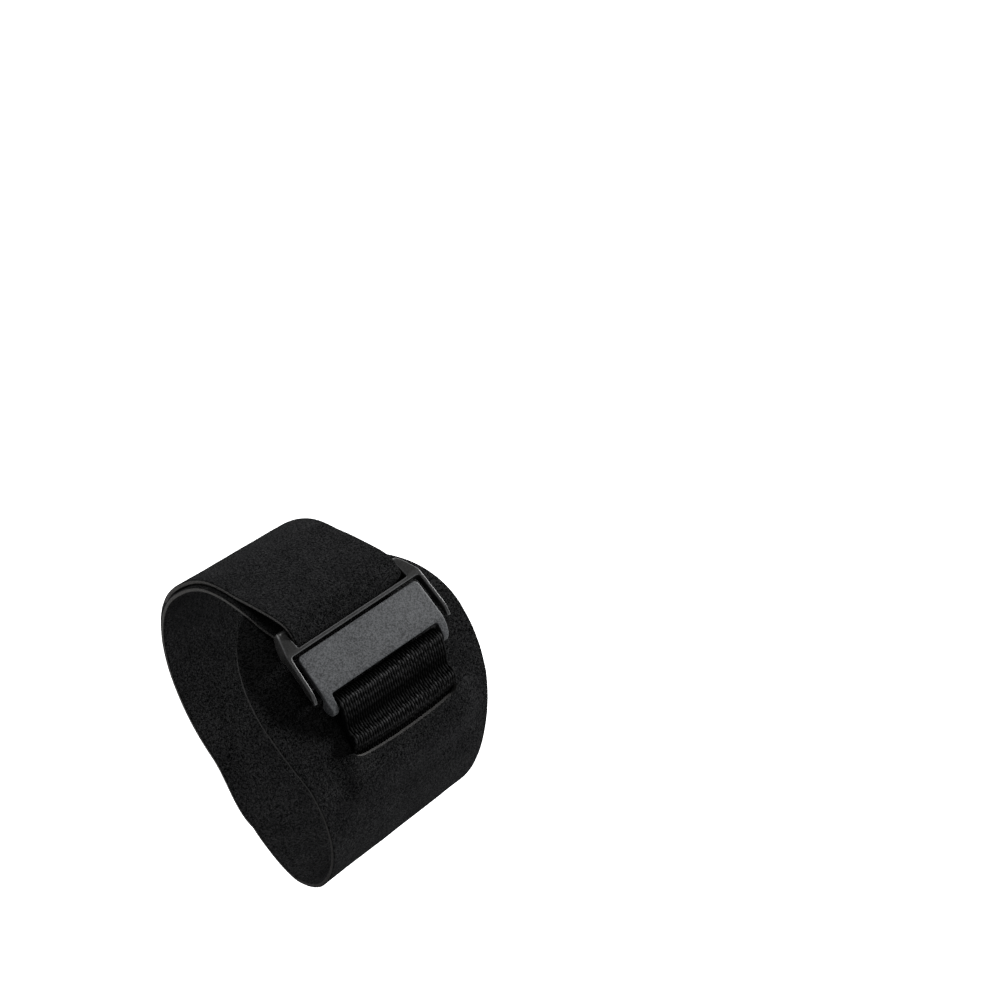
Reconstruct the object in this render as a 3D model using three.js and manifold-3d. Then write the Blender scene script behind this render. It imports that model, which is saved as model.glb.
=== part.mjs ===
import * as THREE from "three";
import { mergeVertices } from "three/addons/utils/BufferGeometryUtils.js";
import Module from "manifold-3d";

const wasm = await Module();
wasm.setup();

// Sizes are in millimetres and angles in degrees.
// +X runs along the forearm from elbow to wrist, +Z out through the buckle's plate,
// +Y towards the side the strap comes from. The origin is on the forearm's axis.

// Loop round the forearm
const loopHalfWidth = 47; // inner face, along Y on the pad's side
const loopStrapHalfWidth = 45.9; // the same on the strap's side
const loopHalfDepth = 42.4; // inner face, along Z
const loopTaper = 0.03; // how much the loop narrows towards the wrist, per millimetre of X
const loopTaperFrom = 24; // the sides taper from this far out, and the top stays level
const laminate = 1.6;
const clearance = 0.3;

// Pad: a round lobe under the buckle that narrows into the strap behind the forearm
const lobeRadius = 38;
const lobeCentreX = -2.8;
const lobeCentreAngle = 6.4; // angles run from the top of the loop over the pad's side
const lobeTipShare = 0.98; // the lobe's round end stops at this share of its radius

// Strap
const strapHalfWidth = 20.6;
const strapDrift = -1.4; // the strap comes round a little towards the elbow
const strapRiseFrom = 277; // it steps up over the lobe's end between these angles
const strapRiseTo = 306;
const strapLeaves = 331; // it leaves the lobe here for the buckle
const foldLandsAt = 314; // the folded layer meets the lower one here
const strapEndAt = 262;
const hookTabLength = 16;

// Slit in the pad, and the raised lip beyond it
const elasticHalfWidth = 20; // 40 mm webbing, which sets the width of the slit and the buckle
const slitHalfLength = elasticHalfWidth + 0.8;
const slitWidth = 2.8;
const slitAngle = 33.3;
const slitBow = 2.2;
const lipRaise = 1.7;
const lipFlat = 9;
const lipFall = 9;
const lipSideFall = 8;

// Elastic between the slit and the buckle
const elasticThickness = 1.2;
const elasticTail = 9; // length under the pad
const ridgeHeight = 3.7; // second ridge, above the pad
const ridgeFromSlit = 4.6;
const valleyFromSlit = 8.6;

// Buckle, heights measured from the forearm's axis
const buckleLift = 9.2; // the plate's face stands this far above the loop's inner face
const buckleTop = loopHalfDepth + buckleLift;
const plateThickness = 2;
const plateUpperY = 7.5;
const plateLowerY = -6.3;
const windowHalf = elasticHalfWidth + 0.7; // half the gap between the plate's legs
const legWidth = 2.9;
const plateLowerHalf = windowHalf + legWidth;
const plateUpperHalf = plateLowerHalf - 0.3;
const plateCorner = 1.6;
const legEndY = -12.3;
const legTaper = 1.2; // the legs get this much narrower towards their ends
const barRadius = 1.3;
const barY = -9.9;
const barZ = buckleTop - 4.1;
const rimThickness = 1.2;
const rimY = 9.1;
const rimRise = 0.3; // the rim and side arms stand this much above the plate
const armThickness = 1.1;
const armGap = 1.3; // between a leg of the plate and the arm beside it
const frameHalf = plateLowerHalf + armGap + armThickness;
const frameFlare = 0.7;
const armEndY = -6.9;
const armDepth = 3.1;
const rearBarY = 15.2;
const rearBarZ = buckleTop - 3.9;
const rearBarHalfY = 1.6;
const rearBarHalfZ = 2.3;
const strapSlotHalf = strapHalfWidth + 0.6;
const rearHalf = strapSlotHalf + 2;
const crossBarY = -0.8;
const crossBarWide = 3.4;
const crossBarDeep = 1.9;
const catchHalf = 14;
const catchThick = 2;
const catchDeep = 3.2;

const black = new THREE.Color(0x17181a);
const radians = THREE.MathUtils.degToRad;

function material(colour, roughness, metalness = 0) {
  return new THREE.MeshStandardMaterial({ color: colour, roughness, metalness });
}

function smooth(value, from, to) {
  const t = THREE.MathUtils.clamp((value - from) / (to - from), 0, 1);
  return t * t * (3 - 2 * t);
}

// Value of a table's column at a place, with straight runs between its rows
function column(table, place, index) {
  if (place <= table[0][0]) return table[0][index];
  for (let i = 1; i < table.length; i += 1) {
    const [low, high] = [table[i - 1], table[i]];
    if (place > high[0]) continue;
    const t = (place - low[0]) / (high[0] - low[0]);
    return low[index] + (high[index] - low[index]) * t;
  }
  return table[table.length - 1][index];
}

// Point of the loop at an angle, a height above its inner face, as [y, z]
function loopPoint(angle, height) {
  const a = radians(angle);
  const halfWidth = Math.sin(a) > 0 ? loopHalfWidth : loopStrapHalfWidth;
  const reach = 1 / Math.hypot(Math.sin(a) / halfWidth, Math.cos(a) / loopHalfDepth);
  const y = -reach * Math.sin(a);
  const z = reach * Math.cos(a);
  const normal = new THREE.Vector2(y / halfWidth ** 2, z / loopHalfDepth ** 2).normalize();
  return [y + normal.x * height, z + normal.y * height];
}

// Radius of the loop's inner face at an angle, to turn short lengths into angles
function loopReach(angle) {
  return Math.hypot(...loopPoint(angle, 0));
}

function degreesOf(length, angle) {
  return THREE.MathUtils.radToDeg(length / loopReach(angle));
}

// The loop's sides come in towards the wrist
function taper([x, y, z]) {
  const share = smooth(Math.abs(y), loopTaperFrom, loopHalfWidth);
  return [x, y - Math.sign(y) * loopTaper * x * share, z];
}

function geometryOf(points, triangles) {
  const geometry = new THREE.BufferGeometry();
  geometry.setAttribute("position", new THREE.Float32BufferAttribute(points.flat(), 3));
  geometry.setIndex(triangles.flat());
  return geometry;
}

function solidOf(geometry) {
  const bare = geometry.clone();
  bare.deleteAttribute("normal");
  bare.deleteAttribute("uv");
  const merged = mergeVertices(bare, 1e-4);
  return new wasm.Manifold(
    new wasm.Mesh({
      numProp: 3,
      vertProperties: new Float32Array(merged.attributes.position.array),
      triVerts: new Uint32Array(merged.index.array),
    }),
  );
}

function meshOf(name, solid, surface, warp = (point) => point) {
  const { vertProperties, triVerts } = solid.getMesh();
  const points = [];
  for (let i = 0; i < vertProperties.length; i += 3) {
    points.push(warp([vertProperties[i], vertProperties[i + 1], vertProperties[i + 2]]));
  }
  const geometry = geometryOf(points, [Array.from(triVerts)]);
  geometry.computeVertexNormals();
  const mesh = new THREE.Mesh(geometry, surface);
  mesh.name = name;
  return mesh;
}

// Solid from points and triangles, turned so that its faces point outwards
function closedSolid(points, triangles) {
  const solid = solidOf(geometryOf(points, triangles));
  if (solid.volume() > 0) return solid;
  return solidOf(geometryOf(points, triangles.map(([a, b, c]) => [a, c, b])));
}

// Skin through rings of equal length, left open at its two ends
function loft(rings) {
  const count = rings[0].length;
  const triangles = [];
  for (let i = 0; i + 1 < rings.length; i += 1) {
    for (let j = 0; j < count; j += 1) {
      const a = i * count + j;
      const b = i * count + ((j + 1) % count);
      triangles.push([a, b, b + count], [a, b + count, a + count]);
    }
  }
  return { points: rings.flat(), triangles, count };
}

// Outline with rounded corners: each row is [first, second, corner radius]
function outline(rows) {
  const shape = new THREE.Shape();
  rows.forEach(([px, py, radius], i) => {
    const before = rows[(i + rows.length - 1) % rows.length];
    const after = rows[(i + 1) % rows.length];
    const here = new THREE.Vector2(px, py);
    const back = new THREE.Vector2(before[0], before[1]).sub(here);
    const ahead = new THREE.Vector2(after[0], after[1]).sub(here);
    const bend = Math.min(radius, back.length() * 0.48, ahead.length() * 0.48);
    const start = here.clone().addScaledVector(back.normalize(), bend);
    const end = here.clone().addScaledVector(ahead.normalize(), bend);
    if (i === 0) shape.moveTo(start.x, start.y);
    else shape.lineTo(start.x, start.y);
    if (radius > 0) shape.quadraticCurveTo(px, py, end.x, end.y);
  });
  shape.closePath();
  return shape;
}

function mirrored(rows) {
  const other = rows.map(([x, y, radius]) => [-x, y, radius]).reverse();
  return [...rows, ...other];
}

// Solid that stands on an outline in the XY plane
function standing(shape, low, high, curveSegments = 4) {
  const depth = high - low;
  const geometry = new THREE.ExtrudeGeometry(shape, { depth, bevelEnabled: false, curveSegments });
  return solidOf(geometry.translate(0, 0, low));
}

// Solid that runs along X with an outline in the YZ plane
function crossing(shape, low, high, curveSegments = 4) {
  const depth = high - low;
  const geometry = new THREE.ExtrudeGeometry(shape, { depth, bevelEnabled: false, curveSegments });
  const turn = new THREE.Matrix4().makeBasis(
    new THREE.Vector3(0, 1, 0),
    new THREE.Vector3(0, 0, 1),
    new THREE.Vector3(1, 0, 0),
  );
  return solidOf(geometry.applyMatrix4(turn).translate(low, 0, 0));
}

function ovalBar(y, z, halfY, halfZ, half) {
  const shape = new THREE.Shape();
  shape.absellipse(y, z, halfY, halfZ, 0, Math.PI * 2);
  return crossing(shape, -half, half, 10);
}

// How far the slit lies towards the buckle at a distance from its middle
function slitShift(x) {
  const share = Math.min(Math.abs(x) / slitHalfLength, 1);
  return slitBow * (1 - Math.sqrt(1 - 0.96 * share * share));
}

// Height of the pad over the elastic's tail beyond the slit
function padRaise(x, angle) {
  const past = (radians(angle - slitAngle) * loopReach(slitAngle)) + slitShift(x);
  const across = 1 - smooth(Math.abs(x), elasticHalfWidth + 1, slitHalfLength + lipSideFall);
  const along = smooth(past, -0.5, 0.8) * (1 - smooth(past, lipFlat, lipFlat + lipFall));
  return lipRaise * across * along;
}

// Edges of the pad past the lobe's middle, as shares of the lobe's radius
// angle, elbow side, wrist side
const padEdges = [
  [lobeCentreAngle, 1, 1],
  [16, 0.985, 0.99],
  [25, 0.957, 0.968],
  [35, 0.908, 0.93],
  [47, 0.876, 0.866],
  [60, 0.857, 0.795],
  [75, 0.85, 0.727],
  [90, 0.845, 0.68],
  [115, 0.78, 0.64],
  [150, 0.62, 0.615],
];
const padEndsAt = 185;

function bandEdges(angle) {
  const middle = lobeCentreX;
  if (angle < lobeCentreAngle) {
    const along = radians(lobeCentreAngle - angle) * loopReach(0);
    const half = Math.sqrt(Math.max(lobeRadius ** 2 - along ** 2, 0));
    return [middle - half, middle + half];
  }
  const strap = [strapDrift - strapHalfWidth, strapDrift + strapHalfWidth];
  const share = smooth(angle, padEdges[padEdges.length - 1][0], padEndsAt);
  const low = middle - lobeRadius * column(padEdges, angle, 1);
  const high = middle + lobeRadius * column(padEdges, angle, 2);
  return [low + (strap[0] - low) * share, high + (strap[1] - high) * share];
}

function steps(from, to, count) {
  return Array.from({ length: count + 1 }, (_, i) => from + ((to - from) * i) / count);
}

// Middle of the lower layer's height above the loop's inner face
function lowerHeight(angle) {
  return laminate / 2 + (laminate + clearance) * smooth(angle, strapRiseFrom, strapRiseTo);
}

const upperStep = laminate + clearance;

// Stations of the band: place of the layer's middle, its two edges, and its angle on the pad
function bandStations() {
  const stations = [];
  const tip = Math.acos(Math.sqrt(1 - lobeTipShare ** 2));
  for (const turn of steps(tip, 0, 9).slice(0, -1)) {
    const angle = lobeCentreAngle - degreesOf(lobeRadius * Math.sin(turn), 0);
    stations.push({ middle: loopPoint(angle, laminate / 2), edges: bandEdges(angle), angle });
  }
  const padAngles = [...steps(lobeCentreAngle, 26, 3), ...steps(28, 52, 16), ...steps(58, 268, 30)];
  for (const angle of [...padAngles, ...steps(strapRiseFrom, strapLeaves, 9)]) {
    const middle = loopPoint(angle, lowerHeight(angle));
    stations.push({ middle, edges: bandEdges(angle), angle });
  }
  const half = laminate / 2;
  const under = [rearBarY, rearBarZ - rearBarHalfZ - clearance - half];
  const over = rearBarZ + rearBarHalfZ + clearance + half;
  const foldBack = rimY + rimThickness / 2 + clearance + half;
  const lands = loopPoint(foldLandsAt, lowerHeight(foldLandsAt) + upperStep);
  const near = loopPoint(foldLandsAt - 4, lowerHeight(foldLandsAt - 4) + upperStep);
  const leaving = stations[stations.length - 1].middle;
  const bend = rearBarHalfY; // the fold's points are set out in widths of the bar
  const leaves = [rearBarY + 2.62 * bend, over - bend];
  // The free run: under the rear bar, up through the slot and back over the bar
  const free = [
    leaving,
    under,
    [rearBarY - 1.62 * bend, under[1] + 0.22 * bend],
    [foldBack + 0.22 * bend, rearBarZ - 1.19 * bend],
    [foldBack, rearBarZ],
    [foldBack + 0.28 * bend, rearBarZ + 1.25 * bend],
    [rearBarY - 1.38 * bend, over - 0.09 * bend],
    [rearBarY + 0.62 * bend, over + 0.06 * bend],
    [leaves[0], leaves[1]],
    [(leaves[0] + lands[0]) / 2, (leaves[1] + lands[1]) / 2 + 0.31 * bend],
    lands,
    near,
  ];
  const path = new THREE.CatmullRomCurve3(
    free.map(([y, z]) => new THREE.Vector3(0, y, z)),
    false,
    "centripetal",
  );
  const count = 34;
  const freeEnd = 1 - 1 / (free.length - 1);
  for (const t of steps(0, freeEnd, count).slice(1)) {
    const { y, z } = path.getPoint(t);
    const centre = strapDrift * (t < 0.3 ? 1 - t / 0.3 : 0);
    stations.push({ middle: [y, z], edges: [centre - strapHalfWidth, centre + strapHalfWidth] });
  }
  for (const angle of steps(foldLandsAt, strapEndAt, 10).slice(1)) {
    const middle = loopPoint(angle, lowerHeight(angle) + upperStep);
    stations.push({ middle, edges: [-strapHalfWidth, strapHalfWidth] });
  }
  return stations;
}

// Layer of even thickness through stations, as rings round its section
function layerSolid(stations, columns) {
  const half = laminate / 2;
  const rings = stations.map((station, i) => {
    const before = stations[Math.max(i - 1, 0)].middle;
    const after = stations[Math.min(i + 1, stations.length - 1)].middle;
    const along = new THREE.Vector2(after[0] - before[0], after[1] - before[1]).normalize();
    const out = [along.y, -along.x];
    const [low, high] = station.edges;
    const xs = steps(low, high, columns);
    const place = (x, side) => {
      const raise = station.angle === undefined ? 0 : padRaise(x, station.angle);
      const away = side * half + raise;
      return [x, station.middle[0] + out[0] * away, station.middle[1] + out[1] * away];
    };
    return [...xs.map((x) => place(x, 1)), ...xs.reverse().map((x) => place(x, -1))];
  });
  const { points, triangles, count } = loft(rings);
  const last = (rings.length - 1) * count;
  for (let j = 0; j < columns; j += 1) {
    const [a, b, c, d] = [j, j + 1, count - 2 - j, count - 1 - j];
    triangles.push([a, c, b], [a, d, c]);
    triangles.push([last + a, last + b, last + c], [last + a, last + c, last + d]);
  }
  return closedSolid(points, triangles);
}

// Cutter that opens the slit, square to the loop, bowed away from the buckle
function slitCutter() {
  const [y, z] = loopPoint(slitAngle, 0);
  const half = slitWidth / 2;
  const xs = steps(-slitHalfLength, slitHalfLength, 16);
  const shape = new THREE.Shape();
  xs.forEach((x, i) => {
    const edge = slitShift(x) + half;
    if (i === 0) shape.moveTo(x, edge);
    else shape.lineTo(x, edge);
  });
  xs.reverse().forEach((x) => shape.lineTo(x, slitShift(x) - half));
  shape.closePath();
  const depth = 6;
  const geometry = new THREE.ExtrudeGeometry(shape, { depth, bevelEnabled: false });
  geometry.translate(0, 0, -depth / 3);
  const normal = new THREE.Vector2(y / loopHalfWidth ** 2, z / loopHalfDepth ** 2).normalize();
  const tilt = Math.atan2(-normal.x, normal.y);
  return solidOf(geometry.rotateX(tilt).translate(0, y, z));
}

function band() {
  const solid = layerSolid(bandStations(), 14).subtract(slitCutter());
  return meshOf("band", solid, material(black, 0.95), taper);
}

// The strap's free end: a hook tab that grips the layer below, out of sight behind the forearm
function hookTab() {
  const gap = degreesOf(clearance, strapEndAt);
  const end = strapEndAt - gap - degreesOf(hookTabLength, strapEndAt);
  const stations = steps(strapEndAt - gap, end, 5).map((angle) => ({
    middle: loopPoint(angle, lowerHeight(angle) + upperStep),
    edges: [-strapHalfWidth, strapHalfWidth],
  }));
  return meshOf("hook_tab", layerSolid(stations, 2), material(black, 0.85), taper);
}

// The elastic goes round the buckle's bar, is sewn to itself, and its tail passes down the slit
function elasticTab() {
  const thick = elasticThickness;
  const outer = laminate + clearance;
  const sewn = outer + 2 * thick; // both layers lie flat together in the valley
  const onPad = (fromSlit, height) => loopPoint(slitAngle - degreesOf(fromSlit, slitAngle), height);
  const ring = barRadius + clearance + thick;
  const around = (turn, radius) => {
    const a = radians(turn);
    return [barY + radius * Math.cos(a), barZ + radius * Math.sin(a)];
  };
  const tailLow = 0.05;
  const sectionAt = (x) => {
    const shift = slitShift(x);
    const near = (fromSlit, height) => onPad(fromSlit + shift, height);
    return [
      ...steps(110, -100, 9).map((turn) => around(turn, ring)),
      onPad(valleyFromSlit + 2.4, outer + 0.12),
      onPad(valleyFromSlit, outer),
      near(ridgeFromSlit, outer),
      near(2.3, outer),
      near(1.2, outer - 0.15),
      near(-0.2, 0.6),
      near(-1.4, tailLow),
      ...steps(-4, -elasticTail, 2).map((from) => near(from, tailLow)),
      ...steps(-elasticTail, -4, 2).map((from) => near(from, tailLow + thick)),
      near(-2, tailLow + thick),
      near(-0.9, tailLow + thick + 0.2),
      near(0.4, outer + thick - 0.9),
      near(1.7, outer + thick + 0.3),
      near(ridgeFromSlit - 1.6, outer + ridgeHeight - 0.6),
      near(ridgeFromSlit - 0.3, outer + ridgeHeight - 0.1),
      near(ridgeFromSlit + 0.8, outer + ridgeHeight - 0.3),
      onPad(valleyFromSlit - 1, sewn),
      onPad(valleyFromSlit + 0.6, sewn),
      onPad(valleyFromSlit + 1.8, sewn + 0.7),
      onPad(valleyFromSlit + 3, sewn + 1.9),
    ].map(([y, z]) => [x, y, z]);
  };
  const rings = steps(-elasticHalfWidth, elasticHalfWidth, 12).map(sectionAt);
  const { points, triangles, count } = loft(rings);
  const flat = rings[0].map(([, y, z]) => new THREE.Vector2(y, z));
  const last = (rings.length - 1) * count;
  for (const [a, b, c] of THREE.ShapeUtils.triangulateShape(flat, [])) {
    triangles.push([a, b, c], [last + a, last + c, last + b]);
  }
  const tube = barRadius + clearance;
  const gap = new THREE.Shape();
  const [pointY, pointZ] = onPad(valleyFromSlit + 2.6, outer + thick + 0.1);
  steps(130, -110, 12).forEach((turn, i) => {
    const [y, z] = around(turn, tube);
    if (i === 0) gap.moveTo(y, z);
    else gap.lineTo(y, z);
  });
  gap.lineTo(pointY, pointZ);
  gap.closePath();
  const hole = crossing(gap, -elasticHalfWidth - 1, elasticHalfWidth + 1);
  const solid = closedSolid(points, triangles).subtract(hole);
  return meshOf("elastic_tab", solid, material(black, 0.9), taper);
}

// Frame: the strap's rear bar, the thin upright rim and the side arms, with a bar under the plate
function buckleFrame() {
  const top = buckleTop + rimRise;
  const rimBack = rimY + rimThickness / 2;
  const rimFront = rimY - rimThickness / 2;
  const rearEnd = rearBarY + rearBarHalfY;
  const low = rearBarZ - rearBarHalfZ;
  const over = armThickness; // cuts run past the frame by this much
  const body = outline(mirrored([
    [rearHalf, rearEnd, 1],
    [frameHalf, rimBack, 1.2],
    [frameHalf + frameFlare, armEndY, 0.5],
    [frameHalf + frameFlare - armThickness, armEndY, 0.4],
    [frameHalf - armThickness, rimFront, 1.2],
  ]));
  const sideView = outline([
    [rearEnd, low + 1.2, 0.8],
    [rearEnd + 0.1, rearBarZ + 1.2, 1.2],
    [rearBarY - 0.4, top - 1.5, 1],
    [rimBack + 0.5, top, 1],
    [armEndY + 3, top, 2],
    [armEndY, top - 1.9, 0.7],
    [armEndY + 1, top - armDepth + 0.4, 1],
    [rimFront - 1.6, top - armDepth, 2],
    [rimBack + 1, low + 1.2, 2],
    [rearBarY - 1, low + 0.5, 1],
  ]);
  const slot = outline([
    [-strapSlotHalf, rimBack, 0.3],
    [strapSlotHalf, rimBack, 0.3],
    [strapSlotHalf, rearEnd + over, 0],
    [-strapSlotHalf, rearEnd + over, 0],
  ]);
  const wide = frameHalf + over;
  const barBottom = buckleTop - plateThickness - clearance - crossBarDeep;
  const crossBar = outline([
    [crossBarY - crossBarWide / 2, barBottom, 0.5],
    [crossBarY + crossBarWide / 2, barBottom, 0.5],
    [crossBarY + crossBarWide / 2, barBottom + crossBarDeep, 0.5],
    [crossBarY - crossBarWide / 2, barBottom + crossBarDeep, 0.5],
  ]);
  const solid = standing(body, low - over, top + over)
    .subtract(standing(slot, low - 2 * over, top + 2 * over))
    .intersect(crossing(sideView, -wide, wide))
    .add(ovalBar(rearBarY, rearBarZ, rearBarHalfY, rearBarHalfZ, strapSlotHalf + over))
    .add(crossing(crossBar, -frameHalf + armThickness / 2, frameHalf - armThickness / 2));
  return meshOf("buckle_frame", solid, material(new THREE.Color(0x2b2d30), 0.5));
}

// Plate: the broad face, two legs that bend down to the elastic's bar, and a catch underneath
function bucklePlate() {
  const under = buckleTop - plateThickness;
  const face = outline(mirrored([
    [plateUpperHalf, plateUpperY, plateCorner],
    [plateLowerHalf, plateLowerY, 1],
    [plateLowerHalf - 0.2 * legTaper, barY + 0.8, 2],
    [plateLowerHalf - legTaper, legEndY, 1.2],
    [windowHalf, legEndY, 0.5],
    [windowHalf, plateLowerY, 0.9],
  ]));
  const sideView = outline([
    [plateUpperY + 1, under, 0],
    [plateUpperY + 1, buckleTop, 0],
    [plateLowerY + 0.4, buckleTop, 2],
    [barY - 1, buckleTop - 1.9, 1.5],
    [legEndY, barZ, 1.6],
    [barY - 1.2, barZ - barRadius - 0.5, 1],
    [barY + 1.6, barZ - barRadius - 0.2, 1],
    [barY + 2.4, under - 1.6, 0.8],
    [plateLowerY - 0.4, under, 0.8],
  ]);
  const wide = frameHalf;
  const catchFront = crossBarY + crossBarWide / 2 + clearance;
  const catchShape = outline([
    [catchFront, under - catchDeep, 0.5],
    [catchFront + catchThick, under - catchDeep, 0.5],
    [catchFront + catchThick, under + 0.5, 0],
    [catchFront, under + 0.5, 0],
  ]);
  const solid = standing(face, barZ - 3 * barRadius, buckleTop + barRadius)
    .intersect(crossing(sideView, -wide, wide))
    .add(ovalBar(barY, barZ, barRadius, barRadius, windowHalf + legWidth / 2))
    .add(crossing(catchShape, -catchHalf, catchHalf));
  return meshOf("buckle_plate", solid, material(new THREE.Color(0x4a4c50), 0.55));
}

const strap = new THREE.Group();
strap.add(band(), hookTab(), elasticTab(), buckleFrame(), bucklePlate());

export default strap;
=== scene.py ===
import math

import bpy
import numpy as np
from mathutils import Matrix, Vector, noise


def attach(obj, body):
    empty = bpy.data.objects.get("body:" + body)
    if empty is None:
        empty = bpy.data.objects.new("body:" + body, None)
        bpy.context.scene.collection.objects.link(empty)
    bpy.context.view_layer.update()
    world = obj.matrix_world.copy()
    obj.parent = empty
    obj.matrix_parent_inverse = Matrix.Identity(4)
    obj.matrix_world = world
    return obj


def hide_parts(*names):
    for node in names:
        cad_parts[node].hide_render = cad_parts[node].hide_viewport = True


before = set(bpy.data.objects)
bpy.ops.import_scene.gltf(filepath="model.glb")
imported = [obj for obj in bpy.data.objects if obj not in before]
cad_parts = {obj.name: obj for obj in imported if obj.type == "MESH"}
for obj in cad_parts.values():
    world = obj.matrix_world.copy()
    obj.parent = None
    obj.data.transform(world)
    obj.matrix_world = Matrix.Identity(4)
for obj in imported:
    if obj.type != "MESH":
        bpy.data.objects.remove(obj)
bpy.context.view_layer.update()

# Sizes are in millimetres and turned to metres when a mesh is made. +X runs along the loop's axis to
# its narrower end, +Z out through the buckle's plate, +Y towards the side the strap comes from.
mm = 0.001
gap = 0.3  # clearance between pieces that touch in the real strap
layerThick = 1.6
unevenCloth = 0.16  # how far the laminate strays from an even surface
sharpCloth = 38  # degrees past which an edge of the laminate stays crisp

# Shared geometry helpers


def smooth(value, low, high):
    t = np.clip((np.asarray(value, float) - low) / (high - low), 0, 1)
    return t * t * (3 - 2 * t)


loop = {
    "padHalf": 47.0,  # inner half width on the pad's side
    "strapHalf": 45.9,  # the same on the strap's side
    "depthHalf": 42.4,
    "taper": 0.03,  # narrowing along +X, per millimetre
    "taperFrom": 24.0,
}


# Point of the loop at an angle in degrees and a height above its inner face, as y, z
def loopPoint(angle, height=0.0):
    a = np.radians(np.asarray(angle, float))
    half = np.where(np.sin(a) > 0, loop["padHalf"], loop["strapHalf"])
    reach = 1 / np.hypot(np.sin(a) / half, np.cos(a) / loop["depthHalf"])
    y, z = -reach * np.sin(a), reach * np.cos(a)
    ny, nz = y / half**2, z / loop["depthHalf"] ** 2
    size = np.hypot(ny, nz)
    return np.array([y + ny / size * height, z + nz / size * height])


def reachAt(angle):
    return float(np.hypot(*loopPoint(angle)))


def degreesOf(length, angle):
    return math.degrees(length / reachAt(angle))


# The loop's sides come in along +X, and the cloth is a little uneven
def shaped(points, unevenness=0.0):
    p = np.array(points, float)
    share = smooth(np.abs(p[:, 1]), loop["taperFrom"], loop["padHalf"])
    p[:, 1] -= np.sign(p[:, 1]) * loop["taper"] * p[:, 0] * share
    if unevenness:
        out = p * [0, 1, 1]
        out /= np.linalg.norm(out, axis=1, keepdims=True)
        lift = np.array([noise.noise(Vector(q / 17.0)) + 0.4 * noise.noise(Vector(q / 7.0)) for q in p])
        p += out * (unevenness * lift)[:, None]
    return p


def meshObject(name, points, faces, attributes=None, edges=()):
    mesh = bpy.data.meshes.new(name)
    mesh.from_pydata([tuple(p) for p in np.asarray(points, float) * mm], edges, faces)
    for key, values in (attributes or {}).items():
        mesh.attributes.new(key, "FLOAT", "POINT").data.foreach_set("value", np.asarray(values, "f"))
    mesh.update()
    obj = bpy.data.objects.new(name, mesh)
    bpy.context.scene.collection.objects.link(obj)
    return obj


# The object's mesh with its modifiers worked in, as a plain mesh
def settled(obj):
    bpy.context.view_layer.update()
    graph = bpy.context.evaluated_depsgraph_get()
    source = obj.evaluated_get(graph)
    mesh = bpy.data.meshes.new_from_object(source, preserve_all_data_layers=True, depsgraph=graph)
    obj.modifiers.clear()
    obj.data = mesh
    return obj


def discard(obj):
    bpy.data.objects.remove(obj, do_unlink=True)


# Flat triangles, so that a cut through them leaves clean edges
def triangulated(obj):
    obj.modifiers.new("triangles", "TRIANGULATE")
    return settled(obj)


def combined(obj, other, operation):
    step = obj.modifiers.new("combine", "BOOLEAN")
    step.operation, step.solver, step.object = operation, "EXACT", other
    settled(obj)
    discard(other)
    return obj


def smoothShaded(obj, sharpAt=None):
    obj.data.shade_smooth()
    if sharpAt:
        obj.data.set_sharp_from_angle(angle=math.radians(sharpAt))
    return obj


# Outline with rounded corners: each row is first, second, corner radius
def rounded(rows, steps=8):
    rows = [np.array(r, float) for r in rows]
    out = []
    for i, row in enumerate(rows):
        here, radius = row[:2], row[2]
        back, ahead = rows[i - 1][:2] - here, rows[(i + 1) % len(rows)][:2] - here
        bend = min(radius, 0.48 * np.linalg.norm(back), 0.48 * np.linalg.norm(ahead))
        if bend <= 0:
            out.append(here)
            continue
        start = here + back / np.linalg.norm(back) * bend
        end = here + ahead / np.linalg.norm(ahead) * bend
        for t in np.linspace(0, 1, steps):
            out.append((1 - t) ** 2 * start + 2 * t * (1 - t) * here + t * t * end)
    return out


def mirrored(rows):
    return rows + [(-x, y, r) for x, y, r in reversed(rows)]


# Closed prism on an outline: standing along Z on an XY outline, or crossing along X on a YZ one
def prism(name, shape, low, high, crossing=False):
    count = len(shape)
    points = []
    for level in (low, high):
        points += [(level, a, b) if crossing else (a, b, level) for a, b in shape]
    faces = [tuple(reversed(range(count))), tuple(range(count, 2 * count))]
    faces += [(i, (i + 1) % count, count + (i + 1) % count, count + i) for i in range(count)]
    area = sum(a[0] * b[1] - b[0] * a[1] for a, b in zip(shape, shape[1:] + shape[:1]))
    if area < 0:
        faces = [tuple(reversed(f)) for f in faces]
    return meshObject(name, points, faces)


def oval(y, z, halfY, halfZ, steps=32):
    turns = [2 * math.pi * i / steps for i in range(steps)]
    return [np.array([y + halfY * math.cos(t), z + halfZ * math.sin(t)]) for t in turns]


# One even skin with soft edges in place of pieces joined by booleans
def moulded(obj, voxel, passes):
    skin = obj.modifiers.new("skin", "REMESH")
    skin.mode, skin.voxel_size, skin.use_smooth_shade = "VOXEL", voxel * mm, True
    ease = obj.modifiers.new("ease", "SMOOTH")
    ease.factor, ease.iterations = 0.5, passes
    return smoothShaded(settled(obj))


# Bend, in shares of a voxel, from which an edge gets a painted highlight
edgeHighlight = {"from": 0.015, "span": 0.07, "blurs": 4}
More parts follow.
